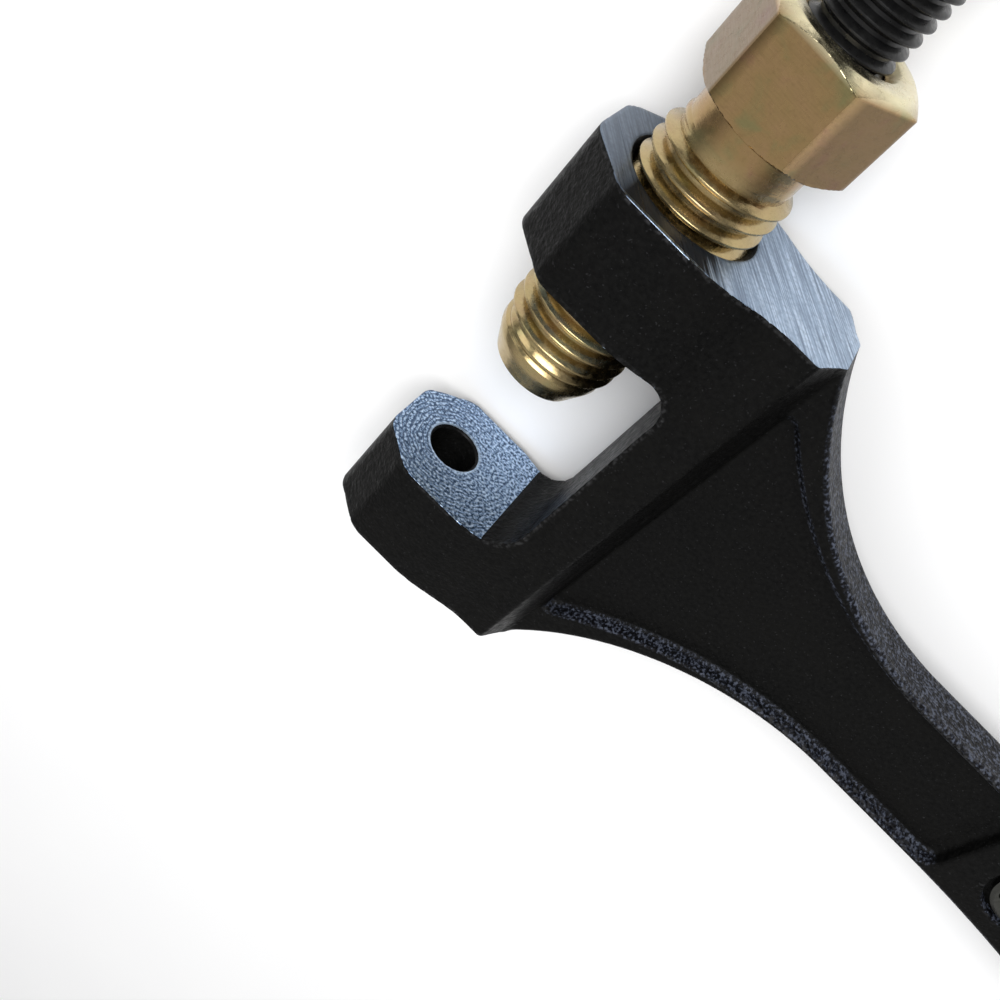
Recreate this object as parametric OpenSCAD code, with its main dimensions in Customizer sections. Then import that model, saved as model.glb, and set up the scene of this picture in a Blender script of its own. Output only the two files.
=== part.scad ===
// Roller-chain breaker: cast C-frame with a flat handle, a hex-headed threaded clamp
// sleeve, and a drive screw with a sliding tommy bar that pushes a spring-returned
// punch pin through the chain and into the anvil hole of the lower jaw.
// Frame: +Y runs up the screw axis, +X runs along the handle, +Z is the front face.
// The origin is on the screw axis at the anvil face, at mid thickness. Millimetres.

/* [C-frame] */
// clear height between the two jaws
jaw_gap = 33.26; // [20:0.1:50]
// thickness of the lower (anvil) jaw along the screw axis
low_jaw_h = 14.24; // [8:0.1:25]
// thickness of the upper (threaded) jaw along the screw axis
top_jaw_h = 13.52; // [8:0.1:25]
// distance from the screw axis to the spine's inner face
throat = 14.15; // [8:0.1:30]
// distance from the screw axis to the spine's back line
spine_back = 20.55; // [12:0.1:40]
// half thickness of the spine
spine_hz = 7.93; // [4:0.1:15]
// distance from the screw axis to where the spine's sloping back meets the web
slope_x = 22.9; // [20.6:0.1:30]
// fillet radius in the two inner corners of the gap
gap_fillet = 4.5; // [1:0.1:8]

/* [Jaw bosses] */
// lower boss: distance from the axis to its tip
low_tip = 8.29; // [5:0.1:20]
// lower boss: half width of the flat tip
low_tip_hz = 4.96; // [2:0.1:10]
// lower boss: distance from the axis to where the tip chamfer ends
low_chamfer = 2.45; // [0:0.1:10]
// lower boss: half thickness
low_hz = 10.05; // [6:0.1:15]
// lower boss: how far it runs back before it slopes into the spine
low_run = 9.92; // [4:0.1:14]
// upper boss: distance from the axis to its tip
top_tip = 12.03; // [5:0.1:20]
// upper boss: half width of the flat tip
top_tip_hz = 4.76; // [2:0.1:10]
// upper boss: distance from the axis to where the tip chamfer ends
top_chamfer = 5.62; // [0:0.1:10]
// upper boss: half thickness
top_hz = 11.38; // [6:0.1:15]
// upper boss: how far it runs back before it slopes into the spine
top_run = 7.48; // [4:0.1:14]
// radius of the anvil hole that the chain rivet drops into
anvil_r = 3.5; // [2:0.05:6]

/* [Handle] */
// height of the handle's mid-line above the anvil face
mid_y = 16.47; // [10:0.01:25]
// half thickness of the web's ribs and of the handle pad
rib_hz = 3.7; // [2:0.1:8]
// half thickness of the thin floor between the ribs
floor_hz = 1.7; // [1:0.1:4]
// half width of the handle neck
neck_hw = 8.6; // [6:0.1:14]
// radius of the two arcs that flare from the neck to the C-frame
flare_r = 45.3; // [20:0.1:80]
// where the flare arcs meet the neck
flare_x = 62; // [45:0.5:80]
// radius of the arcs that bound the recess between the ribs
recess_r = 55; // [25:0.5:90]
// half width of the recess at the neck
recess_hw = 7.8; // [5:0.1:12]
// where the recess ends and the solid pad starts
recess_end = 80.4; // [60:0.1:100]
// radius of the recess's corners
recess_fillet = 2.5; // [1:0.1:5]
// where the handle starts to widen again
widen_x = 77; // [65:0.5:90]
// radius of the widening arcs
widen_r = 190; // [100:1:400]
// where the widening arcs hand over to straight sides
grip_x = 104; // [95:0.5:115]
// radius of the rounded handle end
end_r = 13; // [10:0.1:20]
// position of the centre of the rounded handle end
end_x = 130; // [120:0.5:160]

/* [Clamp sleeve] */
// rest height of the sleeve's nose above the anvil face
nose_y = 18.6; // [12:0.1:32]
// radius of the sleeve thread at its crests (M16)
sleeve_r = 7.9; // [6:0.05:10]
// running clearance between a thread's crests and its bore, on the radius
thread_clear = 0.05; // [0.02:0.01:0.1]
// length of the plain nose below the thread
nose_h = 4.3; // [1:0.1:6]
// length of the nose that tapers
nose_taper_h = 3.1; // [0.5:0.1:4]
// radius of the nose at its end
nose_r = 5.85; // [5:0.05:7.5]
// radius of the plain nose above its taper
nose_plain_r = 7.3; // [6:0.05:7.8]
// height where the sleeve thread ends under the head
thread_top = 53.4; // [48:0.1:60]
// radius of the plain neck under the head
neck_r = 6.8; // [5:0.1:7.8]
// height of the underside of the hex head
hex_y0 = 56.86; // [50:0.1:65]
// height of the top of the hex head
hex_y1 = 67.4; // [60:0.1:75]
// spanner size of the hex head, across flats
hex_af = 17; // [13:0.5:24]
// turn of the hex about the screw axis at rest
hex_turn = -5.3; // [-30:0.1:30]

/* [Drive screw] */
// radius of the drive screw at its crests (M10)
screw_r = 5; // [3:0.05:8]
// height of the screw's lower end at rest
screw_y0 = 60.6; // [55:0.1:66]
// height of the underside of the screw head
head_y0 = 92; // [85:0.5:110]
// height of the top of the screw head
head_y1 = 113; // [100:0.5:130]
// radius of the screw head
head_r = 8; // [6:0.1:12]
// height of the tommy bar's axis
bar_y = 100; // [95:0.5:120]
// radius of the tommy bar
bar_r = 3; // [2:0.1:5]
// half length of the tommy bar
bar_half = 45; // [30:1:80]
// radius of the bar's end caps
cap_r = 4.8; // [3.5:0.1:8]
// length of the bar's end caps
cap_len = 9; // [5:0.5:15]

/* [Punch] */
// radius of the punch pin
pin_r = 2; // [1.2:0.05:3]
// height of the punch tip at rest, just inside the nose
pin_tip = 18.95; // [18:0.05:24]
// radius of the pin carrier
carrier_r = 4.15; // [3.5:0.05:4.2]
// height of the underside of the pin carrier at rest
carrier_y0 = 56; // [50:0.1:58]
// height of the pin carrier
carrier_h = 4; // [3:0.1:6]
// radius of the hardened thrust ball
ball_r = 2; // [1:0.1:2.5]
// thickness of the spring seat washer
seat_h = 1; // [0.5:0.1:2]
// wire diameter of the return spring
wire_d = 0.8; // [0.5:0.1:1.2]
// turns of the return spring
spring_turns = 8; // [5:0.5:10]

/* [Pin store] */
// distance from the screw axis to the cover screw
store_x = 90.4; // [85:0.1:100]
// radius of the cover screw's head
store_head_r = 5; // [4:0.1:7]
// radius of the counterbore round that head
store_cbore_r = 5.9; // [5:0.1:8]
// length of the pocket that holds the spare pin
pocket_len = 40.2; // [30:0.1:45]
// where the pocket starts
pocket_x = 97; // [95:0.5:105]
// half width of the pocket
pocket_hw = 2.5; // [2.1:0.1:4]
// thickness of the swinging cover plate
cover_t = 1.2; // [0.8:0.1:2]
// half width of the cover plate
cover_hw = 6; // [4:0.1:9]

/* [Hidden] */
$fn = 96;
eps = 0.01;
gap_play = 0.02;
top_y = jaw_gap + top_jaw_h;
sleeve_bore_r = screw_r + thread_clear;
chamber_r = 4.25;
chamber_y0 = nose_y + 7.4;
tap_y0 = 37;
seat_y0 = chamber_y0;
spring_y0 = seat_y0 + seat_h;
spring_len = carrier_y0 - spring_y0 - 2 * gap_play;
carrier_y1 = carrier_y0 + carrier_h;
ball_y = screw_y0 - 0.2;
pin_top = ball_y - ball_r - gap_play;
pin_len = pin_top - pin_tip;
detent_ball_r = 1.5;
detent_ball_y = bar_y + bar_r + detent_ball_r + gap_play;
detent_bore_r = 1.65;
detent_spring_y0 = detent_ball_y + detent_ball_r + gap_play;
plug_y0 = 110;
grip_hw = neck_hw + widen_r - sqrt(pow(widen_r, 2) - pow(grip_x - widen_x, 2));
grip_reach = sqrt(pow(end_x - grip_x, 2) + pow(grip_hw, 2));
grip_turn = 180 - atan2(grip_hw, end_x - grip_x) - acos(end_r / grip_reach);
cover_z1 = -rib_hz - 0.05;
cover_z0 = cover_z1 - cover_t;
washer_z0 = cover_z0 - 0.8;
nut_z1 = washer_z0 - gap_play;
nut_z0 = nut_z1 - 2.4;

// turns a shape drawn up +Z so that it stands up the screw axis, +Y, from height y0
module up_axis(y0) {
    translate([0, y0, 0])
        rotate([-90, 0, 0])
            children();
}

// plain round section of a shaft or hole on the screw axis
module rod(r, y0, y1) {
    up_axis(y0)
        cylinder(r = r, h = y1 - y0);
}

// conical section on the screw axis
module taper(r0, r1, y0, y1) {
    up_axis(y0)
        cylinder(r1 = r0, r2 = r1, h = y1 - y0);
}

// plan outline of a jaw: flat tip, two tip chamfers, parallel sides, slope to the spine
module jaw_plan(tip, tip_hz, chamfer, hz, run) {
    polygon([[-tip, -tip_hz], [-chamfer, -hz], [run, -hz], [throat, -spine_hz],
        [spine_back, -spine_hz], [spine_back, spine_hz], [throat, spine_hz],
        [run, hz], [-chamfer, hz], [-tip, tip_hz]]);
}

// plan outline of the spine, whose back slopes in to the web on both sides
module spine_plan() {
    polygon([[throat - 1, -spine_hz], [spine_back, -spine_hz], [slope_x, -rib_hz],
        [slope_x, rib_hz], [spine_back, spine_hz], [throat - 1, spine_hz]]);
}

// side outline of the C-frame with rounded inner corners
module c_profile() {
    difference() {
        translate([-top_tip - 1, -low_jaw_h])
            square([top_tip + 1 + slope_x, top_y + low_jaw_h]);
        translate([-top_tip - 2, 0])
            square([top_tip + 2 + throat - gap_fillet, jaw_gap]);
        translate([0, gap_fillet])
            square([throat, jaw_gap - 2 * gap_fillet]);
        translate([throat - gap_fillet, gap_fillet])
            circle(r = gap_fillet);
        translate([throat - gap_fillet, jaw_gap - gap_fillet])
            circle(r = gap_fillet);
    }
}

module c_frame() {
    intersection() {
        translate([0, 0, -top_hz - 1])
            linear_extrude(height = 2 * top_hz + 2)
                c_profile();
        union() {
            up_axis(-low_jaw_h)
                linear_extrude(height = low_jaw_h + gap_fillet)
                    jaw_plan(low_tip, low_tip_hz, low_chamfer, low_hz, low_run);
            up_axis(jaw_gap - gap_fillet)
                linear_extrude(height = top_jaw_h + gap_fillet)
                    jaw_plan(top_tip, top_tip_hz, top_chamfer, top_hz, top_run);
            up_axis(-low_jaw_h)
                linear_extrude(height = top_y + low_jaw_h)
                    spine_plan();
        }
    }
}

// half width of the handle at x: flared, then the parallel neck, then widening
function handle_hw(x) = x < flare_x ? neck_hw + arc_rise(flare_r, flare_x - x)
    : neck_hw + arc_rise(widen_r, max(0, x - widen_x));

// how far an arc has left its tangent at a run along that tangent
function arc_rise(r, run) = r - sqrt(pow(r, 2) - pow(run, 2));

// evenly spaced numbers from a to b
function steps(a, b, n) = [for (i = [0:n]) a + (b - a) * i / n];

// points of a round stretch about a centre on the mid-line, from one angle to another
function arc_points(x, y, r, a0, a1, n) = [for (a = steps(a0, a1, n))
    [x + r * cos(a), y + r * sin(a)]];

// outline of the web, neck and grip as one closed curve
module handle_profile() {
    xs = concat(steps(spine_back - 1, flare_x, 30), steps(widen_x, grip_x, 12));
    top_edge = [for (x = xs) [x, min(mid_y + handle_hw(x), top_y)]];
    low_edge = [for (i = [len(xs) - 1:-1:0])
        [xs[i], max(mid_y - handle_hw(xs[i]), -low_jaw_h)]];
    polygon(concat(top_edge, arc_points(end_x, mid_y, end_r, grip_turn, -grip_turn, 30), low_edge));
}

// the sunk panel between the ribs, the same on both sides of the web
module recess_profile() {
    corner_x = recess_end - recess_fillet;
    corner_y = recess_hw - recess_fillet;
    // the round corner next to the spine touches the foot of its sloping back and the recess's arc
    inner_x = slope_x + recess_fillet;
    inner_run = flare_x - inner_x;
    inner_y = recess_hw + recess_r - sqrt(pow(recess_r + recess_fillet, 2) - pow(inner_run, 2));
    inner_turn = atan2(recess_hw + recess_r - inner_y, inner_run);
    xs = steps(inner_x + recess_fillet * cos(inner_turn), flare_x, 30);
    widths = [for (x = xs) recess_hw + arc_rise(recess_r, flare_x - x)];
    top_edge = [for (i = [1:len(xs) - 1]) [xs[i], mid_y + widths[i]]];
    low_edge = [for (i = [len(xs) - 1:-1:1]) [xs[i], mid_y - widths[i]]];
    polygon(concat(arc_points(inner_x, mid_y + inner_y, recess_fillet, 180, inner_turn, 8), top_edge,
        arc_points(corner_x, mid_y + corner_y, recess_fillet, 90, 0, 8),
        arc_points(corner_x, mid_y - corner_y, recess_fillet, 0, -90, 8), low_edge,
        arc_points(inner_x, mid_y - inner_y, recess_fillet, -inner_turn, -180, 8)));
}

module frame_body() {
    color([0.13, 0.13, 0.14])
        difference() {
            union() {
                c_frame();
                translate([0, 0, -rib_hz])
                    linear_extrude(height = 2 * rib_hz)
                        handle_profile();
            }
            translate([0, 0, floor_hz])
                linear_extrude(height = rib_hz)
                    recess_profile();
            translate([0, 0, -floor_hz - rib_hz])
                linear_extrude(height = rib_hz)
                    recess_profile();
            rod(anvil_r, -low_jaw_h - 1, 1);
            rod(sleeve_r + thread_clear, jaw_gap - 1, top_y + 1);
            translate([store_x, mid_y, -rib_hz - 1])
                cylinder(r = 2.6, h = 2 * rib_hz + 2);
            translate([store_x, mid_y, rib_hz - 1.3])
                cylinder(r = store_cbore_r, h = 2);
            translate([pocket_x, mid_y - pocket_hw, -rib_hz - 1])
                cube([pocket_len, 2 * pocket_hw, rib_hz + 1.8]);
        }
}

// hexagon with 30 degree turned chamfers at both ends
module hex_head() {
    corner_r = hex_af / 2 / cos(30);
    intersection() {
        up_axis(hex_y0)
            rotate([0, 0, hex_turn])
                cylinder(r = corner_r, h = hex_y1 - hex_y0, $fn = 6);
        union() {
            taper(hex_af / 2 * 1.05, corner_r + 0.2, hex_y0 - eps, hex_y0 + 0.6);
            rod(corner_r + 0.2, hex_y0 + 0.6 - eps, hex_y1 - 1 + eps);
            taper(corner_r + 0.2, hex_af / 2 * 0.96, hex_y1 - 1, hex_y1 + eps);
        }
    }
}

module clamp_sleeve() {
    color([0.8, 0.66, 0.36])
        difference() {
            union() {
                taper(nose_r, nose_plain_r, nose_y, nose_y + nose_taper_h);
                rod(nose_plain_r, nose_y + nose_taper_h - eps, nose_y + nose_h);
                taper(nose_plain_r, sleeve_r, nose_y + nose_h - eps, nose_y + nose_h + 0.7);
                rod(sleeve_r, nose_y + nose_h + 0.7 - eps, thread_top - 0.7);
                taper(sleeve_r, neck_r, thread_top - 0.7 - eps, thread_top);
                rod(neck_r, thread_top - eps, hex_y0 + 1);
                hex_head();
            }
            rod(pin_r + 0.05, nose_y - 1, chamber_y0 + 1);
            taper(pin_r + 0.6, pin_r, nose_y - eps, nose_y + 0.6);
            rod(chamber_r, chamber_y0, tap_y0 + 1);
            rod(sleeve_bore_r, tap_y0, hex_y1 + 1);
            taper(sleeve_bore_r, sleeve_bore_r + 0.9, hex_y1 - 0.9, hex_y1 + eps);
        }
}

module spring_seat() {
    color([0.55, 0.56, 0.58])
        difference() {
            rod(chamber_r - 0.05, seat_y0 + gap_play, seat_y0 + seat_h);
            rod(pin_r + 0.3, seat_y0 - 1, seat_y0 + seat_h + 1);
        }
}

// one wire section as it is cut by a plane across the coil's axis
module coil_section(mean_r, wire, pitch) {
    half_turn = wire / pitch * 180;
    polygon([for (i = [0:11])
        let (a = i * 30)
        let (r = mean_r + wire / 2 * sin(a))
        let (t = half_turn * cos(a))
        [r * cos(t), r * sin(t)]]);
}

module coil(mean_r, wire, turns, y0, len) {
    up_axis(y0)
        linear_extrude(height = len, twist = -360 * turns, slices = turns * 18, $fn = 12)
            coil_section(mean_r, wire, len / turns);
}

module return_spring() {
    color([0.6, 0.61, 0.63])
        coil(3.3, wire_d, spring_turns, spring_y0 + gap_play, spring_len);
}

module punch_pin() {
    color([0.62, 0.62, 0.64]) {
        taper(pin_r - 0.3, pin_r, pin_tip, pin_tip + 0.3);
        rod(pin_r, pin_tip + 0.3 - eps, pin_top);
    }
}

module pin_carrier() {
    color([0.45, 0.46, 0.48])
        difference() {
            union() {
                taper(carrier_r - 0.4, carrier_r, carrier_y0, carrier_y0 + 0.4);
                rod(carrier_r, carrier_y0 + 0.4 - eps, carrier_y1 - 0.4);
                taper(carrier_r, carrier_r - 0.4, carrier_y1 - 0.4 - eps, carrier_y1);
            }
            rod(pin_r + 0.02, carrier_y0 - 1, carrier_y1 + 1);
            rod(ball_r + 0.05, pin_top, carrier_y1 + 1);
        }
}

module thrust_ball() {
    color([0.75, 0.76, 0.78])
        translate([0, ball_y, 0])
            sphere(r = ball_r);
}

module drive_screw() {
    color([0.09, 0.09, 0.1])
        difference() {
            union() {
                taper(screw_r - 1, screw_r, screw_y0, screw_y0 + 1);
                rod(screw_r, screw_y0 + 1 - eps, head_y0 - 1.5);
                taper(screw_r, screw_r + 1.2, head_y0 - 1.5 - eps, head_y0);
                taper(head_r - 1, head_r, head_y0 - eps, head_y0 + 1);
                rod(head_r, head_y0 + 1 - eps, head_y1 - 2);
                taper(head_r, head_r - 2, head_y1 - 2 - eps, head_y1);
            }
            rod(ball_r + 0.05, screw_y0 - 1, ball_y + ball_r + gap_play);
            translate([-head_r - 1, bar_y, 0])
                rotate([0, 90, 0])
                    cylinder(r = bar_r + 0.05, h = 2 * head_r + 2);
            rod(detent_bore_r, bar_y, plug_y0);
            rod(2.05, plug_y0 - eps, head_y1 + 1);
        }
}

module tommy_bar() {
    color([0.5, 0.51, 0.53])
        translate([-bar_half, bar_y, 0])
            rotate([0, 90, 0])
                cylinder(r = bar_r, h = 2 * bar_half);
}

// turned cap with a blind socket that grips the end of the bar
module bar_cap() {
    difference() {
        union() {
            cylinder(r1 = cap_r - 0.8, r2 = cap_r, h = 1);
            translate([0, 0, 1 - eps])
                cylinder(r = cap_r, h = cap_len - 3 + eps);
            translate([0, 0, cap_len - 2 - eps])
                cylinder(r1 = cap_r, r2 = cap_r - 1.6, h = 2);
        }
        translate([0, 0, -1])
            cylinder(r = bar_r + 0.02, h = 7.5);
    }
}

module bar_cap_left() {
    color([0.1, 0.1, 0.11])
        translate([-bar_half + 6.48, bar_y, 0])
            rotate([0, -90, 0])
                bar_cap();
}

module bar_cap_right() {
    color([0.1, 0.1, 0.11])
        translate([bar_half - 6.48, bar_y, 0])
            rotate([0, 90, 0])
                bar_cap();
}

module detent_ball() {
    color([0.75, 0.76, 0.78])
        translate([0, detent_ball_y, 0])
            sphere(r = detent_ball_r);
}

module detent_spring() {
    color([0.6, 0.61, 0.63])
        coil(1.2, 0.4, 5, detent_spring_y0, plug_y0 - detent_spring_y0 - gap_play);
}

// slotted grub screw that closes the detent bore
module detent_plug() {
    color([0.2, 0.2, 0.21])
        difference() {
            rod(2, plug_y0, head_y1 - 0.3);
            translate([-0.35, head_y1 - 1.3, -3])
                cube([0.7, 2, 6]);
        }
}

module cover_plate() {
    color([0.6, 0.61, 0.63])
        translate([0, 0, cover_z0])
            linear_extrude(height = cover_t)
                difference() {
                    union() {
                        translate([store_x, mid_y])
                            circle(r = cover_hw);
                        translate([store_x, mid_y - cover_hw])
                            square([pocket_x + pocket_len - store_x, 2 * cover_hw]);
                        translate([pocket_x + pocket_len, mid_y])
                            scale([0.55, 1])
                                circle(r = cover_hw);
                    }
                    translate([store_x, mid_y])
                        circle(r = 2.6);
                }
}

// round-headed screw with two holes for a pin spanner
module cover_screw() {
    head_z0 = rib_hz - 1.3;
    color([0.68, 0.68, 0.66])
        translate([store_x, mid_y, 0])
            difference() {
                union() {
                    translate([0, 0, nut_z0 - 0.6])
                        cylinder(r = 2.5, h = head_z0 - nut_z0 + 0.7);
                    translate([0, 0, head_z0])
                        cylinder(r = store_head_r, h = 1.2);
                    translate([0, 0, head_z0 + 1.2 - eps])
                        cylinder(r1 = store_head_r, r2 = store_head_r - 0.5, h = 0.4);
                }
                for (side = [0, 180])
                    rotate([0, 0, 29.6 + side])
                        translate([3.3, 0, head_z0 + 0.6])
                            cylinder(r = 0.9, h = 2);
            }
}

module cover_washer() {
    color([0.6, 0.61, 0.63])
        translate([store_x, mid_y, washer_z0])
            difference() {
                cylinder(r = 4.6, h = 0.8 - gap_play);
                translate([0, 0, -1])
                    cylinder(r = 2.7, h = 3);
            }
}

module cover_nut() {
    color([0.62, 0.62, 0.62])
        translate([store_x, mid_y, nut_z0])
            difference() {
                intersection() {
                    cylinder(r = 4 / cos(30), h = nut_z1 - nut_z0, $fn = 6);
                    union() {
                        cylinder(r1 = 4.1, r2 = 4.75, h = 0.5);
                        translate([0, 0, 0.5 - eps])
                            cylinder(r = 4.75, h = 3);
                    }
                }
                translate([0, 0, -1])
                    cylinder(r = 2.52, h = 5);
            }
}

module spare_pin() {
    color([0.62, 0.62, 0.64])
        translate([pocket_x + (pocket_len - pin_len) / 2, mid_y, -rib_hz + 2.25])
            rotate([0, 90, 0])
                cylinder(r = pin_r, h = pin_len);
}

frame_body();
clamp_sleeve();
spring_seat();
return_spring();
punch_pin();
pin_carrier();
thrust_ball();
drive_screw();
tommy_bar();
bar_cap_left();
bar_cap_right();
detent_ball();
detent_spring();
detent_plug();
cover_plate();
cover_screw();
cover_washer();
cover_nut();
spare_pin();
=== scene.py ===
import math

import bpy
import numpy as np
from mathutils import Matrix, Vector


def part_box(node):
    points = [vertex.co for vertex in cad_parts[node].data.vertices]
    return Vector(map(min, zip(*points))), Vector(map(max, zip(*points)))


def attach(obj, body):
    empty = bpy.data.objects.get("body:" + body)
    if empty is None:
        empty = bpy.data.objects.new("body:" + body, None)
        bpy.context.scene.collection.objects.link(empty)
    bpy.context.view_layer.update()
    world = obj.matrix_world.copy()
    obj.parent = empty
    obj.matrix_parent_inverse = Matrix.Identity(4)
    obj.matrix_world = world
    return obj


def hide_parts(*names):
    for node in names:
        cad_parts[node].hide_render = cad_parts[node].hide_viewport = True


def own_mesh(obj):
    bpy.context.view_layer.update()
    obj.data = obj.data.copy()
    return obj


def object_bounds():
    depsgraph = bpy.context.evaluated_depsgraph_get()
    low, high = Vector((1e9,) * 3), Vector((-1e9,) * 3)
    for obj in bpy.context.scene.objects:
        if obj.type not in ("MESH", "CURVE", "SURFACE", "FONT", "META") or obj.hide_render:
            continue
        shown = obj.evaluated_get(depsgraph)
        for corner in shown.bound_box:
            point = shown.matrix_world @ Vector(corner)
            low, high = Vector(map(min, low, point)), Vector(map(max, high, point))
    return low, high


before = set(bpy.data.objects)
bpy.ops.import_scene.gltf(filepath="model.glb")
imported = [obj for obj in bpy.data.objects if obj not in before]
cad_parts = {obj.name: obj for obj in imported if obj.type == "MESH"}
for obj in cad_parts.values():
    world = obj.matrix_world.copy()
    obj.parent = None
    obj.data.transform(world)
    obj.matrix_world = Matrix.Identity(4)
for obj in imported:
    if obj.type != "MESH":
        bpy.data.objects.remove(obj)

# Shapes are worked out in millimetres and scaled to metres as each mesh is made. The axes are
# the CAD's: +Y up the screw axis, +X along the handle, +Z out of the front face.
MM = 0.001
CAD_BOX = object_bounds()


def node_box(name):
    """Lowest and highest corner of a CAD node, in millimetres."""
    low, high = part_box(name)
    return np.array(low) / MM, np.array(high) / MM


frame_low, frame_high = node_box("frame_body")
sleeve_low, sleeve_high = node_box("clamp_sleeve")
screw_low, screw_high = node_box("drive_screw")
bar_low, bar_high = node_box("tommy_bar")
store_low, store_high = node_box("cover_screw")

# C-frame
JAW_GAP = 33.26
LOW_Y = frame_low[1]
TOP_Y = frame_high[1]
THROAT = 14.15
SPINE_BACK = 20.55
SPINE_HZ = 7.93
SLOPE_X = 22.9
GAP_FILLET = 4.5
ANVIL_R = 3.5
# each jaw boss: tip, half width of the tip, end of the tip chamfer, half thickness, straight run
LOW_BOSS = dict(tip=8.29, tip_hz=4.96, chamfer=2.45, hz=10.05, run=9.92)
TOP_BOSS = dict(tip=12.03, tip_hz=4.76, chamfer=5.62, hz=11.38, run=7.48)
BOSS_CORNER = 1.0
MACHINED_EDGE = 0.12
# how far the machined top runs on over the web
WEB_FLAT_END = 23.6

# handle
MID_Y = 16.47
RIB_HZ = 3.7
FLOOR_HZ = 1.7
NECK_HW = 8.6
FLARE_R = 45.3
FLARE_X = 62.0
RECESS_R = 55.0
RECESS_HW = 7.8
RECESS_END = 80.4
RECESS_FILLET = 2.5
WIDEN_X = 77.0
WIDEN_R = 190.0
GRIP_X = 104.0
END_R = 13.0
END_X = frame_high[0] - END_R

# sleeve and screw
SLEEVE_R = 7.9
SLEEVE_ROOT = 6.72
SLEEVE_PITCH = 2.0
SCREW_R = 5.0
SCREW_ROOT = 4.08
SCREW_PITCH = 1.5
THREAD_PLAY = 0.05
NOSE_H = 4.3
SLEEVE_THREAD_TOP = 53.4
NECK_R = 6.8
HEX_Y0 = 56.86
HEX_FLATS = 17.0
HEX_CORNER = 0.35
HEX_TURN = math.radians(-5.3)
CHAMBER_RISE = 7.4
CHAMBER_R = 4.25
SCREW_BORE_FOOT = 37.0
PUNCH_BORE_R = 2.05
SCREW_HEAD_Y0 = 92.0
SCREW_HEAD_R = 8.0
BALL_POCKET_R = 2.06
BALL_POCKET_DEPTH = 1.82
DETENT_BORE_R = 1.66
PLUG_BORE_R = 2.06
PLUG_Y0 = 110.0
# hidden hole along the screw, which keeps its mesh ring-shaped between its two bores
SCREW_CORE_R = 0.4

# cosine of 45 degrees, near enough, which makes a cone's field a distance
CONE = 0.7
# chamfers at the mouths of the holes, and the radii outside which the machined flats are bare
ANVIL_MOUTH = 0.35
BORE_MOUTH = 0.65
ANVIL_BARE_R = ANVIL_R + 0.3
BORE_BARE_R = SLEEVE_R + 0.62

# pin store in the handle
STORE_HOLE_R = 2.6
STORE_SEAT_R = 5.9
STORE_SEAT_DEPTH = 1.3
POCKET_X = (97.0, 137.2)
POCKET_HW = 2.5
POCKET_TOP_Z = 0.8

# direction of the grinding marks on the jaws, about the screw axis
SCRATCH_TURN = math.radians(-52)


# ---------------------------------------------------------------- distance fields


def round_max(a, b, r):
    """Intersection of two distances whose meeting edge is rounded to radius r."""
    corner = np.sqrt(np.maximum(a + r, 0) ** 2 + np.maximum(b + r, 0) ** 2)
    return np.minimum(-r, np.maximum(a, b)) + corner


def round_min(a, b, r):
    """Union of two distances whose meeting corner is filled to radius r."""
    return -round_max(-a, -b, r)


def slab(y, low, high):
    """Distance to the slab between two levels."""
    return np.abs(y - (low + high) / 2) - (high - low) / 2


def rounded_box(u, v, low, high, r):
    """Distance to a rectangle with rounded corners."""
    du = np.abs(u - (low[0] + high[0]) / 2) - (high[0] - low[0]) / 2
    dv = np.abs(v - (low[1] + high[1]) / 2) - (high[1] - low[1]) / 2
    return round_max(du, dv, r)


def half_plane(x, z, start, end):
    """Signed distance of (x, |z|) from the line start-end, positive on its outer side."""
    run = np.array(end) - np.array(start)
    nx, nz = -run[1] / np.hypot(*run), run[0] / np.hypot(*run)
    return (x - start[0]) * nx + (np.abs(z) - start[1]) * nz


def boss(x, z, tip, tip_hz, chamfer, hz, run):
    """Plan distance of a jaw boss: tip, tip chamfers, parallel sides and rear slopes."""
    d = round_max(-tip - x, half_plane(x, z, (-tip, tip_hz), (-chamfer, hz)), BOSS_CORNER)
    d = round_max(d, np.abs(z) - hz, BOSS_CORNER)
    d = round_max(d, half_plane(x, z, (run, hz), (THROAT, SPINE_HZ)), BOSS_CORNER * 2)
    return round_max(d, x - SPINE_BACK + 0.5, 0.5)


def c_frame(x, y, z):
    """Distance to the C-frame before its holes are drilled."""
    low_jaw = round_max(boss(x, z, **LOW_BOSS), slab(y, LOW_Y, GAP_FILLET), MACHINED_EDGE)
    top_jaw = round_max(boss(x, z, **TOP_BOSS), slab(y, JAW_GAP - GAP_FILLET, TOP_Y),
                        MACHINED_EDGE)
    back = round_max(half_plane(x, z, (SPINE_BACK, SPINE_HZ), (SLOPE_X, RIB_HZ)), x - SLOPE_X, 0.2)
    sides = round_max(np.abs(z) - SPINE_HZ, back, 0.5)
    spine = round_max(np.maximum(sides, THROAT - 2 - x), slab(y, LOW_Y, TOP_Y), MACHINED_EDGE)
    solid = round_min(round_min(low_jaw, top_jaw, 0.1), spine, 1.5)
    solid = np.maximum(solid, slab(y, LOW_Y, TOP_Y))
    gap = rounded_box(x, y, (-60.0, 0.0), (THROAT, JAW_GAP), GAP_FILLET)
    return round_max(solid, -gap, MACHINED_EDGE)


def arc_side(x, across, tangent_x, half_width, r):
    """Distance past an edge that leaves the line across = half_width on an arc at tangent_x."""
    return r - np.hypot(x - tangent_x, across - half_width - r)


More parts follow.
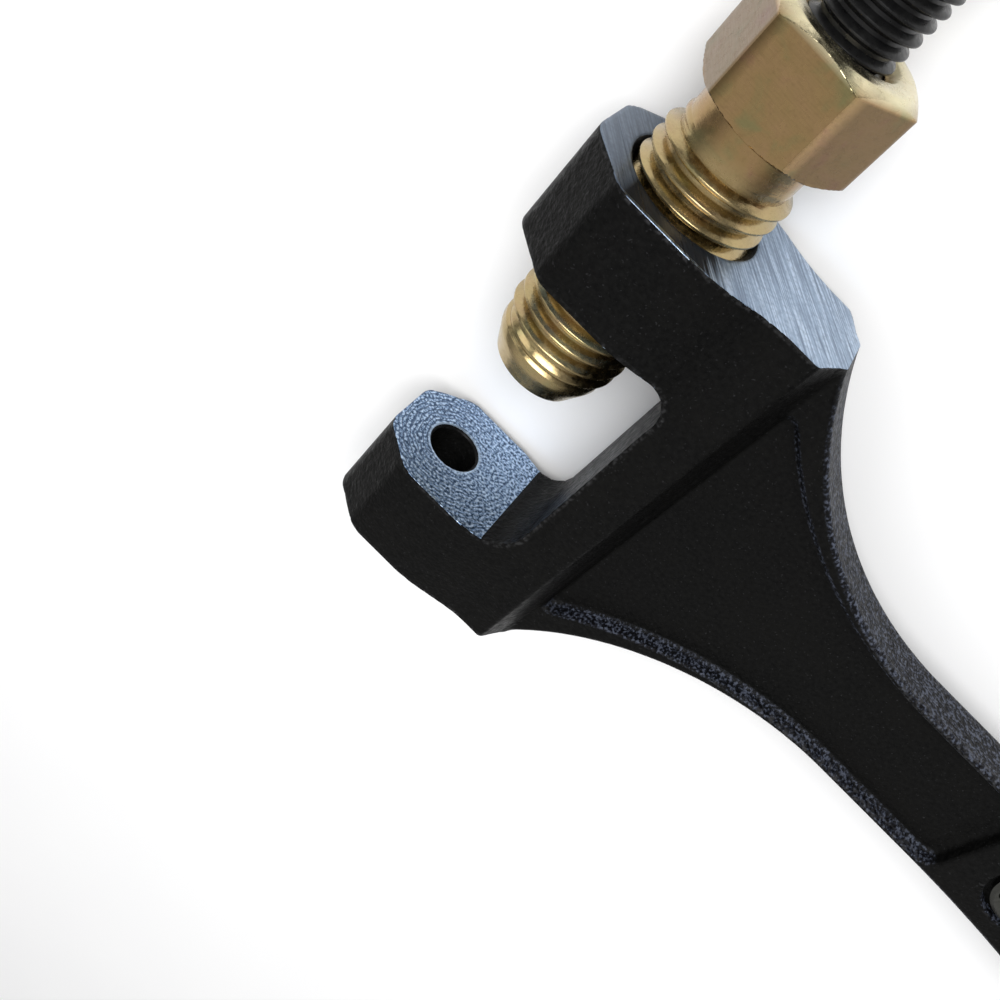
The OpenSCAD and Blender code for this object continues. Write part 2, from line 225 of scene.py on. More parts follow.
def handle_outline(x, y):
    """Distance to the outline of web, neck and grip, seen from the front."""
    across = np.abs(y - MID_Y)
    flare = arc_side(x, across, FLARE_X, NECK_HW, FLARE_R)
    widening = arc_side(x, across, WIDEN_X, NECK_HW, WIDEN_R)
    rise = WIDEN_R - math.sqrt(WIDEN_R ** 2 - (GRIP_X - WIDEN_X) ** 2)
    grip_hw = NECK_HW + rise
    reach = math.hypot(END_X - GRIP_X, grip_hw)
    turn = math.pi - math.atan2(grip_hw, END_X - GRIP_X) - math.acos(END_R / reach)
    normal = (math.cos(turn), math.sin(turn))
    straight = (x - END_X) * normal[0] + across * normal[1] - END_R
    cap = np.hypot(x - END_X, across) - END_R
    d = np.where(x < FLARE_X, flare, np.where(x < WIDEN_X, across - NECK_HW, widening))
    d = np.where(x < GRIP_X, d, straight)
    d = np.where(x < END_X + END_R * normal[0], d, cap)
    return d


def recess(x, y, z):
    """Distance to the sunk panels between the ribs, on both sides of the web."""
    across = np.abs(y - MID_Y)
    arc = arc_side(x, across, FLARE_X, RECESS_HW, RECESS_R)
    side = np.where(x < FLARE_X, arc, across - RECESS_HW)
    outline = round_max(side, x - RECESS_END, RECESS_FILLET)
    outline = round_max(outline, SLOPE_X - x, RECESS_FILLET)
    draft = 0.28 * (np.abs(z) - RIB_HZ)
    return round_max(outline - draft, FLOOR_HZ - np.abs(z), 0.7)


def frame_field(x, y, z):
    """Distance to the finished frame body."""
    web = round_max(handle_outline(x, y), np.abs(z) - RIB_HZ, 0.9)
    web = round_max(web, SPINE_BACK - 2 - x, 0.3)
    web = round_max(web, -recess(x, y, z), 0.45)
    solid = round_min(c_frame(x, y, z), web, 0.9)
    solid = np.maximum(solid, slab(y, LOW_Y, TOP_Y))
    axis_r = np.hypot(x, z)
    anvil_mouth = np.maximum((axis_r - ANVIL_R - ANVIL_MOUTH - y) * CONE, y - 0.3)
    anvil_hole = np.minimum(axis_r - ANVIL_R, anvil_mouth)
    anvil_hole = np.maximum(anvil_hole, y - JAW_GAP / 2)
    outward = np.abs(y - (JAW_GAP + TOP_Y) / 2) - (TOP_Y - JAW_GAP) / 2
    bore_mouth = np.maximum((axis_r - SLEEVE_R - BORE_MOUTH - outward) * CONE, outward - 0.3)
    sleeve_bore = np.minimum(axis_r - SLEEVE_R - THREAD_PLAY, bore_mouth)
    sleeve_bore = np.maximum(sleeve_bore, JAW_GAP / 2 - y)
    store_x = (store_low[0] + store_high[0]) / 2
    store_r = np.hypot(x - store_x, y - MID_Y)
    seat = np.maximum(store_r - STORE_SEAT_R, RIB_HZ - STORE_SEAT_DEPTH - z)
    screw_hole = np.minimum(store_r - STORE_HOLE_R, seat)
    pocket = rounded_box(x, y, (POCKET_X[0], MID_Y - POCKET_HW), (POCKET_X[1], MID_Y + POCKET_HW), 1.0)
    pocket = np.maximum(pocket, z - POCKET_TOP_Z)
    holes = np.minimum(np.minimum(anvil_hole, sleeve_bore), np.minimum(screw_hole, pocket))
    return round_max(solid, -holes, 0.15)


# ---------------------------------------------------------------- meshing


def gradient(field, p):
    """Unit normals of a field at points p."""
    h = 0.01
    g = np.empty_like(p)
    for a in range(3):
        step = np.zeros(3)
        step[a] = h
        g[:, a] = field(*(p + step).T) - field(*(p - step).T)
    return g / np.maximum(np.linalg.norm(g, axis=1, keepdims=True), 1e-9)


def contour(field, axes):
    """Vertices and quads of a field's zero surface, by dual contouring, which keeps edges crisp."""
    x, y, z = axes[0][:, None, None], axes[1][None, :, None], axes[2][None, None, :]
    value = field(x, y, z)
    inside = value < 0
    shape = np.array(value.shape)
    points, normals, cells, flips = [], [], [], []
    for a in range(3):
        b, c = (a + 1) % 3, (a + 2) % 3
        first = tuple(slice(0, -1) if k == a else slice(None) for k in range(3))
        second = tuple(slice(1, None) if k == a else slice(None) for k in range(3))
        index = np.argwhere(inside[first] != inside[second])
        ahead = index.copy()
        ahead[:, a] += 1
        v0 = value[tuple(index.T)]
        v1 = value[tuple(ahead.T)]
        p = np.stack([axes[k][index[:, k]] for k in range(3)], axis=1)
        p[:, a] += (axes[a][ahead[:, a]] - p[:, a]) * v0 / (v0 - v1)
        ring = []
        for db, dc in ((0, 0), (1, 0), (1, 1), (0, 1)):
            cell = index.copy()
            cell[:, b] -= 1 - db
            cell[:, c] -= 1 - dc
            ring.append(np.ravel_multi_index(tuple(cell.T), tuple(shape)))
        points.append(p)
        normals.append(gradient(field, p))
        cells.append(np.stack(ring, axis=1))
        flips.append(v0 > 0)
    points, normals = np.concatenate(points), np.concatenate(normals)
    cells, flips = np.concatenate(cells), np.concatenate(flips)
    names, quads = np.unique(cells, return_inverse=True)
    quads = quads.reshape(cells.shape)
    count = len(names)

    def gather(weights):
        return np.bincount(quads.ravel(), np.repeat(weights, 4), count)

    number = gather(np.ones(len(points)))
    centre = np.stack([gather(points[:, k]) / number for k in range(3)], axis=1)
    plane = np.sum(normals * points, axis=1)
    matrix = np.empty((count, 3, 3))
    target = np.empty((count, 3))
    for i in range(3):
        target[:, i] = gather(normals[:, i] * plane)
        for j in range(3):
            matrix[:, i, j] = gather(normals[:, i] * normals[:, j])
    target -= np.einsum("nij,nj->ni", matrix, centre)
    matrix += 0.08 * np.eye(3)
    shift = np.linalg.solve(matrix, target[:, :, None])[:, :, 0]
    reach = max(np.diff(axis).max() for axis in axes)
    vertices = centre + np.clip(shift, -reach, reach)
    quads[flips] = quads[flips][:, ::-1]
    return vertices, quads


def new_object(name, vertices, faces, body, material):
    """A mesh piece from millimetre vertices, riding on a body."""
    mesh = bpy.data.meshes.new(name)
    mesh.from_pydata((np.asarray(vertices) * MM).tolist(), [], [list(map(int, f)) for f in faces])
    mesh.update()
    obj = bpy.data.objects.new(name, mesh)
    bpy.context.scene.collection.objects.link(obj)
    obj.data.materials.append(material)
    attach(obj, body)
    return obj


def smooth(obj, angle=35):
    """Smooth shading that keeps edges sharper than an angle."""
    mesh = obj.data
    mesh.polygons.foreach_set("use_smooth", np.ones(len(mesh.polygons), dtype=bool))
    mesh.set_sharp_from_angle(angle=math.radians(angle))


class Shell:
    """Vertices and faces gathered from several closed surfaces."""

    def __init__(self):
        self.vertices, self.faces = [], []

    def grid(self, rows):
        """Adds a tube of rings, each an array of points, closed round and at both ends."""
        start = len(self.vertices)
        count = len(rows[0])
        for row in rows:
            self.vertices.extend(row)
        for i in range(len(rows) - 1):
            for j in range(count):
                k = (j + 1) % count
                a, b = start + i * count, start + (i + 1) * count
                self.faces.append((a + j, a + k, b + k, b + j))
        self.faces.append(tuple(start + j for j in reversed(range(count))))
        self.faces.append(tuple(start + (len(rows) - 1) * count + j for j in range(count)))

    def loop(self, rows):
        """Adds a ring-shaped surface: the last row joins the first."""
        start = len(self.vertices)
        count = len(rows[0])
        for row in rows:
            self.vertices.extend(row)
        for i in range(len(rows)):
            for j in range(count):
                k = (j + 1) % count
                a, b = start + i * count, start + (i + 1) % len(rows) * count
                self.faces.append((a + j, a + k, b + k, b + j))


def ring_y(radius, y, segments):
    """Ring of points about the screw axis; radius may depend on the angle."""
    angle = np.arange(segments) * 2 * math.pi / segments
    r = radius(angle) if callable(radius) else np.full(segments, radius)
    return np.stack([r * np.cos(angle), np.full(segments, y), -r * np.sin(angle)], axis=1)


def turned(shell, profile, segments):
    """Adds a solid of revolution about the screw axis from (radius, y) points going round it."""
    shell.loop([ring_y(r, y, segments) for r, y in profile])


def helix(shell, y0, y1, pitch, section, phase):
    """Adds a thread's ridge: section gives (axial, radius) points, and both ends fade out."""
    fade, segments = 0.6, 72
    turns = (y1 - y0) / pitch
    count = int(turns * segments)
    base = section[0][1]
    rows = []
    for i in range(count + 1):
        turn = i / segments
        angle = 2 * math.pi * turn + phase
        grow = min(1.0, turn / fade + 0.02, (turns - turn) / fade + 0.02)
        y = y0 + turn * pitch
        rows.append(np.array([((base + (r - base) * grow) * math.cos(angle), y + a,
                               -(base + (r - base) * grow) * math.sin(angle)) for a, r in section]))
    shell.grid(rows)


def ridge(pitch, root, crest, width=0.76):
    """Section of a thread ridge with softly rounded crest, from its root outwards."""
    flat = 0.14
    sink = 0.08 if crest > root else -0.08
    half, top = width * pitch / 2, flat * pitch / 2
    soft = (crest - root) * 0.06
    return [(-half - 0.05, root - sink), (-half, root), (-top * 1.5, crest - soft), (-top * 0.7, crest),
            (top * 0.7, crest), (top * 1.5, crest - soft), (half, root), (half + 0.05, root - sink)]


def hex_radius(flats, corner, turn):
    """Radius of a hexagon with rounded corners, as a function of the angle."""
    apothem = flats / 2
    centre = (apothem - corner) / math.cos(math.pi / 6)

    def radius(angle):
        off = (angle - turn + math.pi / 6) % (math.pi / 3) - math.pi / 6
        flat = apothem / np.cos(math.pi / 6 - np.abs(off))
        reach = corner ** 2 - (centre * np.sin(off)) ** 2
        arc = centre * np.cos(off) + np.sqrt(np.maximum(reach, 0))
        along = flat * np.sin(math.pi / 6 - np.abs(off))
        return np.where(along > (apothem - corner) * math.tan(math.pi / 6), arc, flat)

    return radius


# ---------------------------------------------------------------- materials

# near black: what remains of the black coat where a machined flat ends, and the colour of the painted shade
# in front of the sleeve
NEAR_BLACK = (0.004, 0.004, 0.0042)


class Nodes:
    """Short calls for building one Principled material."""

    def __init__(self, name, colour, metallic, roughness):
        self.material = bpy.data.materials.new(name)
        self.material.use_nodes = True
        self.tree = self.material.node_tree
        self.shader = self.tree.nodes["Principled BSDF"]
        self.shader.inputs["Base Color"].default_value = (*colour, 1.0)
        self.shader.inputs["Metallic"].default_value = metallic
        self.shader.inputs["Roughness"].default_value = roughness
        self.place = self.add("ShaderNodeTexCoord").outputs["Object"]

    def add(self, kind, **settings):
        node = self.tree.nodes.new(kind)
        for key, value in settings.items():
            setattr(node, key, value)
        return node

    def link(self, source, target):
        self.tree.links.new(source, target)

    def noise(self, size_mm, detail=3.0, distortion=0.0):
        """Noise whose blobs are about size_mm across."""
        node = self.add("ShaderNodeTexNoise")
        node.inputs["Scale"].default_value = 1 / (size_mm * MM)
        node.inputs["Detail"].default_value = detail
        node.inputs["Distortion"].default_value = distortion
        self.link(self.place, node.inputs["Vector"])
        return node.outputs["Fac"]

    def streaks(self, lengths, detail, rotation=(0, 0, 0)):
        """Noise for marks that run one way: its lengths along X, Y and Z in millimetres, and its turn."""
        mapping = self.add("ShaderNodeMapping", vector_type="TEXTURE")
        mapping.inputs["Scale"].default_value = tuple(length * MM for length in lengths)
        mapping.inputs["Rotation"].default_value = rotation
        self.link(self.place, mapping.inputs["Vector"])
        node = self.add("ShaderNodeTexNoise")
        node.inputs["Scale"].default_value = 1.0
        node.inputs["Detail"].default_value = detail
        self.link(mapping.outputs["Vector"], node.inputs["Vector"])
        return node.outputs["Fac"]

    def ramp(self, value, stops):
        """Colour ramp; stops are (position, grey or colour)."""
        node = self.add("ShaderNodeValToRGB")
        marks = node.color_ramp.elements
        while len(marks) < len(stops):
            marks.new(0.5)
        for mark, (position, colour) in zip(marks, stops):
            mark.position = position
            mark.color = (*colour, 1) if isinstance(colour, tuple) else (colour, colour, colour, 1)
        self.link(value, node.inputs["Fac"])
        return node.outputs["Color"]

    def spread(self, value, low, high, out_low, out_high):
        """Maps a value's range onto another, clamped."""
        node = self.add("ShaderNodeMapRange")
        for key, number in zip(("From Min", "From Max", "To Min", "To Max"),
                               (low, high, out_low, out_high)):
            node.inputs[key].default_value = number
        self.link(value, node.inputs["Value"])
        return node.outputs["Result"]

    def math(self, operation, a, b=None):
        node = self.add("ShaderNodeMath", operation=operation)
        for socket, value in zip(node.inputs, (a, b)):
            if value is None:
                continue
            if isinstance(value, (int, float)):
                socket.default_value = value
            else:
                self.link(value, socket)
        return node.outputs["Value"]

    def mix(self, factor, a, b):
        """Mix of two colours, each a colour socket or a colour."""
        node = self.add("ShaderNodeMix", data_type="RGBA")
        self.link(factor, node.inputs["Factor"])
        for socket, value in ((node.inputs[6], a), (node.inputs[7], b)):
            if isinstance(value, tuple):
                socket.default_value = (*value, 1)
            else:
                self.link(value, socket)
        return node.outputs[2]

    def axes(self):
        """X, Y and Z in metres and the distance from the screw axis."""
        split = self.add("ShaderNodeSeparateXYZ")
        self.link(self.place, split.inputs["Vector"])
        x, y, z = split.outputs
        square = self.math("ADD", self.math("POWER", x, 2.0), self.math("POWER", z, 2.0))
        return x, y, z, self.math("POWER", square, 0.5)

    def bare(self, y, radius, levels, hole_r):
        """1 on the machined flats at the given heights outside a hole, 0 on the black beside them.

        hole_r holds the hole's radius below and above the handle's middle line."""
        gaps = [self.math("ABSOLUTE", self.math("SUBTRACT", y, level * MM)) for level in levels]
        flat = self.math("LESS_THAN", self.math("MINIMUM", *gaps), 0.09 * MM)
        upper = self.math("GREATER_THAN", y, MID_Y * MM)
        limit = self.spread(upper, 0.0, 1.0, hole_r[0] * MM, hole_r[1] * MM)
        return self.math("MULTIPLY", flat, self.math("GREATER_THAN", radius, limit))

    def stored(self, name):
        """A value stored on the mesh."""
        return self.add("ShaderNodeAttribute", attribute_name=name).outputs["Fac"]

    def edge_wear(self, low, high):
        """1 along convex edges, 0 elsewhere."""
        point = self.add("ShaderNodeNewGeometry").outputs["Pointiness"]
        return self.spread(point, low, high, 0.0, 1.0)

    def colour(self, value):
        self.link(value, self.shader.inputs["Base Color"])

    def roughness(self, value):
        self.link(value, self.shader.inputs["Roughness"])

    def metallic(self, value):
        self.link(value, self.shader.inputs["Metallic"])

    def bump(self, *layers):
        """Bump layers of (height socket, depth in millimetres)."""
        normal = None
        for height, depth in layers:
            node = self.add("ShaderNodeBump")
            node.inputs["Distance"].default_value = depth * MM
            self.link(height, node.inputs["Height"])
            if normal is not None:
                self.link(normal, node.inputs["Normal"])
            normal = node.outputs["Normal"]
        self.link(normal, self.shader.inputs["Normal"])


def casting():
    """Black oxide over a fine cast grain, rubbed brighter along edges, with painted blue highlights on the
    web's walls.
    """
    n = Nodes("casting_black", (0.008, 0.008, 0.008), 0.0, 0.45)
    grain = n.noise(0.55, 4.0)
    patch = n.noise(7.0, 3.0)
    tone = n.ramp(grain, [(0.3, (0.0012, 0.0012, 0.0012)), (0.7, (0.0045, 0.0045, 0.0043))])
    tone = n.mix(n.spread(patch, 0.4, 0.7, 0.0, 0.5), tone, (0.004, 0.0038, 0.0034))
    rub = n.spread(n.stored("edge"), 0.25, 0.6, 0.0, 1.0)
    wear = n.math("MULTIPLY", rub, n.spread(n.noise(0.6, 4.0), 0.45, 0.66, 0.0, 0.4))
    specks = n.spread(n.noise(0.35, 2.0), 0.66, 0.74, 0.0, 0.5)
    tone = n.mix(specks, tone, (0.03, 0.03, 0.032))
    # the walls and flanks of the web keep the mould's pebbled cast surface as bump, and blue highlights are
    # painted on them, on faces turned towards +Y or -Y
    split = n.add("ShaderNodeSeparateXYZ")
    n.link(n.add("ShaderNodeNewGeometry").outputs["Normal"], split.inputs["Vector"])
    x = n.axes()[0]
    steep = n.spread(n.math("ABSOLUTE", split.outputs["Y"]), 0.25, 0.6, 0.0, 1.0)
    pebbled_and_painted_sheen = n.math("MULTIPLY", steep, n.spread(x, 22 * MM, 27 * MM, 0.0, 1.0))
    pebble = n.noise(0.4, 2.0)
    painted_sheen = n.ramp(pebble, [(0.42, (0.003, 0.003, 0.0036)), (0.52, (0.011, 0.0125, 0.018)),
                            (0.64, (0.065, 0.074, 0.1))])
    # painted blue highlights mixed in on the web's walls
    tone = n.mix(pebbled_and_painted_sheen, tone, painted_sheen)
    n.colour(n.mix(wear, tone, (0.07, 0.07, 0.073)))
    n.roughness(n.spread(n.noise(0.9, 3.0), 0.3, 0.7, 0.34, 0.56))
    n.bump((n.math("MULTIPLY", pebble, pebbled_and_painted_sheen), 0.16), (grain, 0.12), (n.noise(2.6, 2.0), 0.14))
    n.shader.inputs["Specular IOR Level"].default_value = 0.08
    return n.material


def ground_rings():
    """Milled anvil face: rings about the hole and a speckle of bare and dark steel."""
    n = Nodes("machined_rings", (0.24, 0.33, 0.47), 1.0, 0.38)
    x, y, _, radius = n.axes()
    wobble = n.math("MULTIPLY", n.noise(2.2, 3.0), 0.0016)
    rings = n.math("SINE", n.math("MULTIPLY", n.math("ADD", radius, wobble), 2 * math.pi / (0.62 * MM)))
    speckle = n.noise(0.42, 5.0)
    tone = n.ramp(speckle, [(0.4, (0.05, 0.085, 0.15)), (0.5, (0.27, 0.39, 0.58)), (0.6, (0.6, 0.74, 0.92))])
    clear = n.spread(x, -4 * MM, 6 * MM, 0.85, 0.15)
    shade = n.math("MULTIPLY", n.spread(rings, 0.0, 0.8, 0.0, 1.0), clear)
    tone = n.mix(shade, tone, (0.07, 0.11, 0.19))
    rim = n.math("MULTIPLY", n.math("LESS_THAN", radius, (ANVIL_R + 0.62) * MM), 0.6)
    tone = n.mix(rim, tone, (0.5, 0.62, 0.76))
    bare = n.bare(y, radius, (0.0, JAW_GAP), (ANVIL_BARE_R, BORE_BARE_R))
    n.colour(n.mix(bare, NEAR_BLACK, tone))
    n.metallic(bare)
    n.roughness(n.spread(n.noise(1.4, 3.0), 0.3, 0.7, 0.3, 0.5))
    n.bump((speckle, 0.03), (rings, 0.012))
    n.shader.inputs["Specular IOR Level"].default_value = 0.1
    return n.material


def ground_lines():
    """Ground jaw face: straight scratches, with painted shade in front of the sleeve and towards the tip."""
    n = Nodes("machined_lines", (0.3, 0.4, 0.53), 1.0, 0.35)
    x, y, z, radius = n.axes()
    scratch = n.streaks((9.0, 0.3, 0.3), 4.0, (0, SCRATCH_TURN, 0))
    speckle = n.noise(0.6, 4.0)
    tone = n.ramp(scratch, [(0.36, (0.15, 0.2, 0.28)), (0.5, (0.3, 0.39, 0.51)), (0.64, (0.55, 0.65, 0.78))])
    tone = n.mix(n.spread(speckle, 0.45, 0.65, 0.0, 0.45), tone, (0.16, 0.21, 0.29))
    # painted shade: the face darkens towards the jaw's tip
    tone = n.mix(n.spread(x, -8 * MM, 6 * MM, 0.72, 0.0), tone, (0.07, 0.085, 0.11))
    ragged = n.math("ADD", x, n.math("MULTIPLY", n.math("SUBTRACT", scratch, 0.5), 6 * MM))
    # painted shade: a near-black, non-metallic band on the upper face in front of the sleeve, where the
    # sleeve shades the face
    front = n.math("MULTIPLY", n.spread(z, 5.0 * MM, 7.0 * MM, 0.0, 1.0), n.math("LESS_THAN", z, 10.9 * MM))
    middle = n.math("MULTIPLY", n.spread(x, -7.0 * MM, -5.0 * MM, 0.0, 1.0),
                    n.spread(ragged, 5.5 * MM, 8.0 * MM, 1.0, 0.0))
    top = n.math("GREATER_THAN", y, MID_Y * MM)
    painted_sleeve_shade = n.math("MULTIPLY", n.math("MULTIPLY", front, middle), top)
    tone = n.mix(n.math("MULTIPLY", painted_sleeve_shade, 0.97), tone, NEAR_BLACK)
    bare = n.bare(y, radius, (LOW_Y, TOP_Y), (ANVIL_R + 0.1, BORE_BARE_R))
    n.colour(n.mix(bare, NEAR_BLACK, tone))
    n.metallic(n.math("MULTIPLY", bare, n.math("SUBTRACT", 1.0, painted_sleeve_shade)))
    n.roughness(n.spread(scratch, 0.3, 0.7, 0.25, 0.45))
    n.bump((scratch, 0.02), (speckle, 0.012))
    n.shader.inputs["Specular IOR Level"].default_value = 0.1
    return n.material


def yellow_zinc():
    """Yellow chromated zinc: gold with faint pink and green clouds, and painted light on the thread and the
    hex.
    """
    n = Nodes("zinc_yellow", (0.5, 0.36, 0.2), 1.0, 0.3)
    cloud = n.noise(4.0, 3.0, distortion=0.6)
    tone = n.ramp(cloud, [(0.3, (0.26, 0.22, 0.10)), (0.45, (0.33, 0.22, 0.10)),
                          (0.6, (0.35, 0.225, 0.11)), (0.75, (0.34, 0.18, 0.12))])
    fine = n.noise(0.35, 4.0)
    x, y = n.axes()[:2]
    # lighter and greener on the thread as a painted tint of its highlights, painted shade on the facets that
    # face sideways, and a cream painted highlight on the hex's top
    painted_thread_tint = n.spread(y, 52 * MM, 55 * MM, 0.5, 0.0)
    tone = n.mix(painted_thread_tint, tone, (0.47, 0.40, 0.21))
    tone = n.mix(n.spread(fine, 0.5, 0.75, 0.0, 0.2), tone, (0.16, 0.10, 0.045))
    # painted shade on the hex's sideways facets, stopping below the top chamfer
    painted_facet_shade = n.math("MULTIPLY", n.spread(y, 56 * MM, 57.5 * MM, 0.0, 0.66),
                   n.spread(n.math("ABSOLUTE", x), 4.3 * MM, 5.4 * MM, 0.0, 1.0))
    top = sleeve_high[1] * MM
    painted_facet_shade = n.math("MULTIPLY", painted_facet_shade, n.spread(y, top - 1.3 * MM, top - 1.0 * MM, 1.0, 0.0))
    tone = n.mix(painted_facet_shade, tone, (0.07, 0.045, 0.02))
    # painted highlight: the hex's top is coloured cream
    n.colour(n.mix(n.spread(y, top - 1.1 * MM, top - 0.2 * MM, 0.0, 0.8), tone, (0.85, 0.78, 0.52)))
    n.roughness(n.spread(n.noise(0.8, 3.0), 0.3, 0.7, 0.16, 0.32))
    n.bump((n.noise(0.9, 2.0), 0.006), (n.streaks((3.0, 0.22, 3.0), 2.0), 0.02))
    return n.material


def black_oxide():
    """Oiled black oxide on turned steel, rubbed on the crests."""
    n = Nodes("oxide_black", (0.012, 0.012, 0.012), 0.0, 0.35)
    patch = n.noise(1.6, 4.0)
    tone = n.ramp(patch, [(0.3, (0.002, 0.002, 0.0022)), (0.7, (0.007, 0.007, 0.007))])
    wear = n.math("MULTIPLY", n.edge_wear(0.53, 0.62), n.spread(patch, 0.35, 0.65, 0.1, 0.7))
    n.colour(n.mix(wear, tone, (0.06, 0.06, 0.06)))
    n.roughness(n.spread(n.noise(0.5, 3.0), 0.3, 0.7, 0.24, 0.44))
    n.bump((n.noise(0.3, 3.0), 0.01),)
    n.shader.inputs["Specular IOR Level"].default_value = 0.3
    return n.material


def steel(name, colour, low, high, marks):
    """Bright steel with fine marks along one axis; marks is how many run to a millimetre on X, Y and Z."""
    n = Nodes(name, colour, 1.0, (low + high) / 2)
    line = n.streaks(tuple(1 / m for m in marks), 4.0)
    dark = tuple(c * 0.74 for c in colour)
    stain = n.spread(n.noise(2.5, 4.0), 0.5, 0.75, 0.0, 0.5)
    n.colour(n.mix(stain, n.mix(n.spread(line, 0.35, 0.65, 0.0, 1.0), dark, colour), dark))
    n.roughness(n.spread(line, 0.3, 0.7, low, high))
    n.bump((line, 0.008),)
    return n.material


CASTING = casting()
RINGS = ground_rings()
LINES = ground_lines()
ZINC = yellow_zinc()
OXIDE = black_oxide()
BRIGHT = steel("steel_bright", (0.56, 0.57, 0.58), 0.22, 0.4, (0.3, 4.0, 4.0))
SATIN = steel("steel_satin", (0.09, 0.09, 0.082), 0.34, 0.52, (2.5, 0.6, 2.5))
SPRING = steel("steel_spring", (0.42, 0.43, 0.45), 0.25, 0.4, (2.0, 2.0, 2.0))
HARD = steel("steel_hardened", (0.5, 0.5, 0.52), 0.18, 0.32, (0.4, 3.0, 3.0))

# CAD nodes that keep their shape
CAD_FINISHES = {
    "spring_seat": BRIGHT, "punch_pin": HARD, "pin_carrier": BRIGHT, "thrust_ball": HARD,
    "tommy_bar": BRIGHT, "bar_cap_left": OXIDE, "bar_cap_right": OXIDE, "detent_ball": HARD,
    "detent_spring": SPRING, "detent_plug": OXIDE, "cover_plate": BRIGHT, "cover_screw": SATIN,
    "cover_washer": SPRING, "cover_nut": BRIGHT, "spare_pin": HARD}


# ---------------------------------------------------------------- the casting


def make_frame_body():
    """The casting as one closed mesh, finer over the jaws, and the thread inside the upper jaw."""
    margin, fine, coarse = 1.1, 0.36, 0.62
    split = SPINE_BACK + 3.0
    jaws = np.arange(frame_low[0] - margin, split, fine)
    grip = np.arange(jaws[-1] + coarse, frame_high[0] + margin, coarse)
    across = [np.arange(frame_low[a] - margin, frame_high[a] + margin, fine) for a in (1, 2)]
    vertices, quads = contour(frame_field, [np.concatenate((jaws, grip)), *across])
    vertices = np.clip(vertices, frame_low, frame_high)
    body = new_object("frame_casting", vertices, quads, "frame", CASTING)
    body.data.materials.append(RINGS)
    body.data.materials.append(LINES)
    mesh = body.data
    centre = np.empty(len(mesh.polygons) * 3)
    normal = np.empty(len(mesh.polygons) * 3)
    mesh.polygons.foreach_get("center", centre)
    mesh.polygons.foreach_get("normal", normal)
    centre, normal = centre.reshape(-1, 3) / MM, normal.reshape(-1, 3)
    slot = np.zeros(len(mesh.polygons), dtype=np.int32)
    rings_slot, lines_slot = 1, 2
    height = centre[:, 1]
    level_faces = np.abs(normal[:, 1]) > 0.5
    jaw = centre[:, 0] < WEB_FLAT_END
    for level, kind in ((0.0, rings_slot), (JAW_GAP, rings_slot), (LOW_Y, lines_slot), (TOP_Y, lines_slot)):
        near = (np.abs(height - level) < 0.3) & level_faces
        slot[near & jaw] = kind
    mesh.polygons.foreach_set("material_index", slot)
    mesh.polygons.foreach_set("use_smooth", np.ones(len(mesh.polygons), dtype=bool))
    # each corner's normal is taken a little inside its face, so that edges stay crisp
    corners = vertices[quads]
    middle = corners.mean(axis=1, keepdims=True)
    inset = (corners + (middle - corners) * 0.25).reshape(-1, 3)
    mesh.normals_split_custom_set(gradient(frame_field, inset))
    add_wear(mesh, vertices)
    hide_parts("frame_body")
    thread = Shell()
    section = ridge(SLEEVE_PITCH, SLEEVE_R + 0.12, SLEEVE_ROOT + 0.16, width=0.7)
    ridge_y0, ridge_y1 = JAW_GAP + 0.9, TOP_Y - 0.9
    phase = thread_phase(ridge_y0, SLEEVE_PITCH) + math.pi
    helix(thread, ridge_y0, ridge_y1, SLEEVE_PITCH, section, phase)
    lining = new_object("frame_jaw_thread", thread.vertices, thread.faces, "frame", OXIDE)
    smooth(lining)


def add_wear(mesh, vertices):
    """Stores, per vertex, how much of the ball just under the surface sticks out: 1 on edges."""
    depth = 0.8
    outside = frame_field(*(vertices - gradient(frame_field, vertices) * depth).T) + depth
    layer = mesh.attributes.new("edge", "FLOAT", "POINT")
    layer.data.foreach_set("value", np.clip(outside / depth, 0, 1).astype(np.float32))


def thread_phase(y, pitch):
    """Angle at which a right-hand thread with its ridge at angle 0, height 0 passes height y."""
    return 2 * math.pi * (y / pitch % 1.0)


# ---------------------------------------------------------------- sleeve and screw


